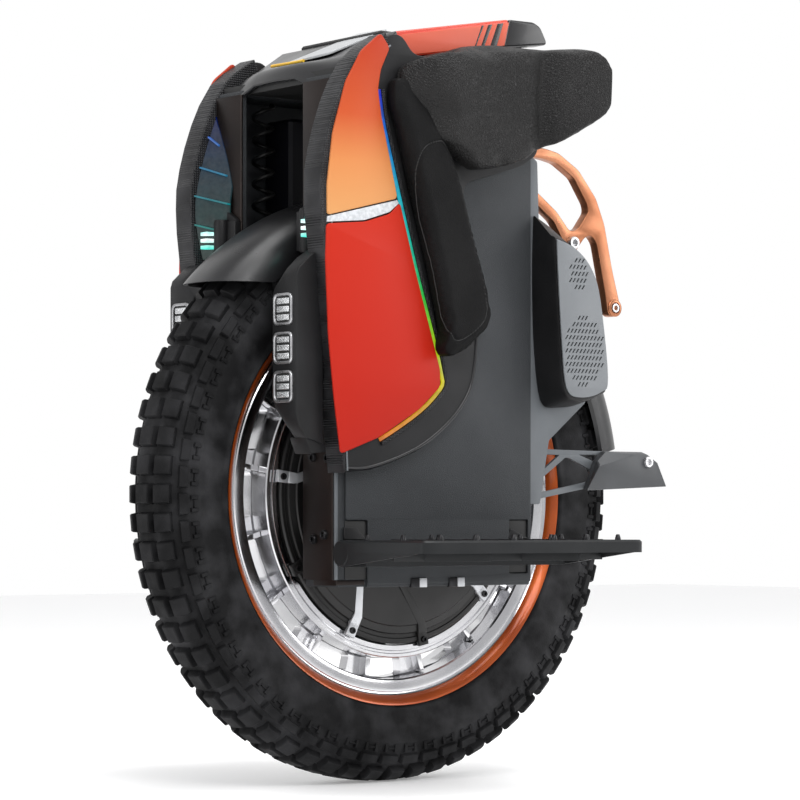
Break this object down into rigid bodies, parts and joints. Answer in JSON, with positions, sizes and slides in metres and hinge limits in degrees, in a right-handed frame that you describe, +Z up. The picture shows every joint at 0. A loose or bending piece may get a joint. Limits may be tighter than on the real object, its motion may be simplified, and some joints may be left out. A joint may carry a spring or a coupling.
{
  "type": "electric unicycle",
  "caption": "One-wheeled self-balancing electric vehicle with a knobbly tyre, sprung body, folding pedals, padded side panels and front lamps",
  "frame": {"origin": "On the ground, under the middle of the bounding box", "axes": "+X forward, +Y to the rider's left along the axle, +Z up"},
  "size_m": [0.5308, 0.44, 0.6928],
  "materials": {
    "tyre_rubber": "dusty black knobbly rubber",
    "rim_chrome": "polished, with orange lips",
    "motor_black": "satin black",
    "steel": "ground and brushed",
    "copper_laminate": "copper windings on laminated steel",
    "slate_coat": "fine-textured slate powder coat",
    "grey_plate": "matt mid grey",
    "black_plastic": "fine-grained black",
    "gloss_black": "polished black",
    "red_paint": "red fading to orange, satin",
    "orange_anodised": "copper-orange anodised, machined",
    "black_leather": "grained black synthetic leather",
    "battery_wrap": "heat-shrink wrap",
    "lamp_body": "black with clear lenses"
  },
  "bodies": {
    "chassis": {"spring_front_left": "steel", "spring_front_right": "steel", "spring_rear_left": "steel", "spring_rear_right": "steel", "frame_spine": "slate_coat", "side_box_left": "slate_coat", "side_box_right": "slate_coat", "box_cover_left": "slate_coat", "box_cover_right": "slate_coat", "controller_box": "grey_plate", "rear_plate_left": "grey_plate", "rear_plate_right": "grey_plate", "speaker_grille_left": "grey_plate", "speaker_grille_right": "grey_plate", "top_deck": "black_plastic", "side_shell_left": "black_plastic", "side_shell_right": "black_plastic", "speaker_pod_left": "black_plastic", "speaker_pod_right": "black_plastic", "heel_bracket_left": "black_plastic", "heel_bracket_right": "black_plastic", "heel_pad_left": "black_plastic", "heel_pad_right": "black_plastic", "front_arch": "gloss_black", "side_panel_left": "red_paint", "side_panel_right": "red_paint", "top_rail_left": "red_paint", "top_rail_right": "red_paint", "bumper_arm_left": "orange_anodised", "bumper_arm_right": "orange_anodised", "thigh_cushion_left": "black_leather", "thigh_cushion_right": "black_leather", "knee_pad_left": "black_leather", "knee_pad_right": "black_leather", "battery_pack_left": "battery_wrap", "battery_pack_right": "battery_wrap", "headlight_left": "lamp_body", "headlight_right": "lamp_body"},
    "fork": {"axle": "steel", "motor_stator": "copper_laminate", "mudguard": "black_plastic", "axle_block_left": "slate_coat", "axle_block_right": "slate_coat", "stanchion_front_left": "steel", "stanchion_front_right": "steel", "stanchion_rear_left": "steel", "stanchion_rear_right": "steel"},
    "wheel": {"tyre": "tyre_rubber", "rim": "rim_chrome", "motor_drum": "motor_black", "magnet_ring": "steel", "motor_cover_left": "motor_black", "motor_cover_right": "motor_black", "wheel_bearing_left": "steel", "wheel_bearing_right": "steel"},
    "pedal_left": {"pedal_left": "black_plastic", "pedal_pin_left": "steel"},
    "pedal_right": {"pedal_right": "black_plastic", "pedal_pin_right": "steel"},
    "power_button": {"power_button": "steel"}
  },
  "joints": [
    {"name": "suspension", "type": "slide", "parent": "chassis", "child": "fork", "axis": [0, 0, 1], "range_m": [0, 0.08], "stiffness_N_per_m": 9000, "deforming": ["spring_front_left", "spring_front_right", "spring_rear_left", "spring_rear_right"]},
    {"name": "wheel_spin", "type": "hinge", "parent": "fork", "child": "wheel", "pos_m": [0.0074, 0, 0.258], "axis": [0, 1, 0], "continuous": true},
    {"name": "pedal_left_fold", "type": "hinge", "parent": "chassis", "child": "pedal_left", "pos_m": [0.0074, 0.105, 0.207], "axis": [1, 0, 0], "range_deg": [0, 75]},
    {"name": "pedal_right_fold", "type": "hinge", "parent": "chassis", "child": "pedal_right", "pos_m": [0.0074, -0.105, 0.207], "axis": [-1, 0, 0], "range_deg": [0, 75]},
    {"name": "power_press", "type": "slide", "parent": "chassis", "child": "power_button", "axis": [0, 0, -1], "range_m": [0, 0.0018], "stiffness_N_per_m": 600}
  ]
}
